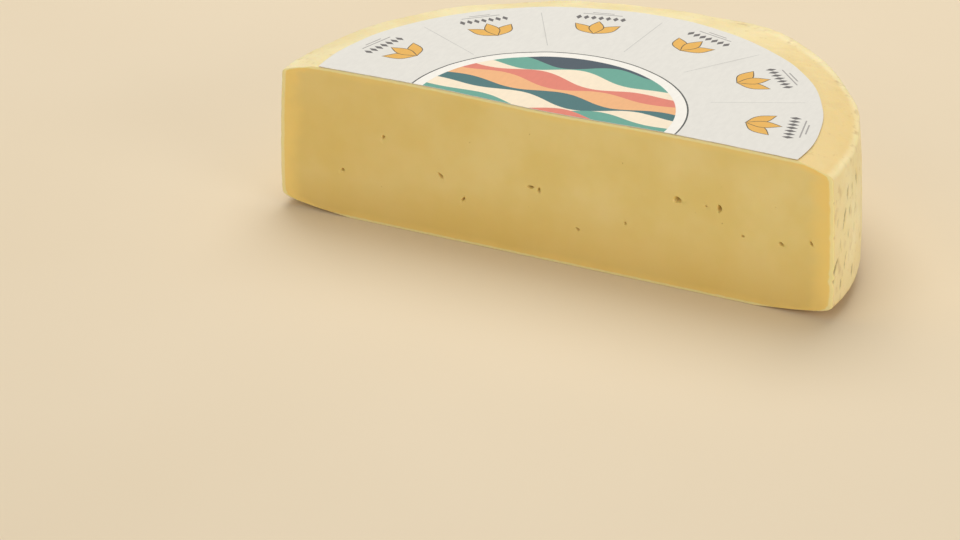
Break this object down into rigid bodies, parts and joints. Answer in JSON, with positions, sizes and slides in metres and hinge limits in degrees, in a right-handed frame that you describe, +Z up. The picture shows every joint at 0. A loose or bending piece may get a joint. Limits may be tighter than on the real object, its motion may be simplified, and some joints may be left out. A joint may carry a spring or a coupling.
{
  "type": "half cheese wheel",
  "caption": "Half wheel of pale yellow semi-hard cheese with a flat cut face, small eyes in the paste, an embossed rind and a round paper label on top, cut through with it.",
  "frame": {"origin": "the point where the wheel's axis meets the flat of the base, 10 mm behind the cut face", "axes": "+X along the cut, towards its right end as seen from in front; +Y from the cut towards the back of the rim; +Z up, along the wheel's axis"},
  "size_m": [0.3201, 0.1718, 0.0865],
  "materials": {
    "cheese": "satin, slightly waxy paste and rind",
    "label_paper": "matt printed paper"
  },
  "bodies": {
    "root": {"cheese": "cheese", "paper_label": "label_paper"}
  },
  "joints": []
}
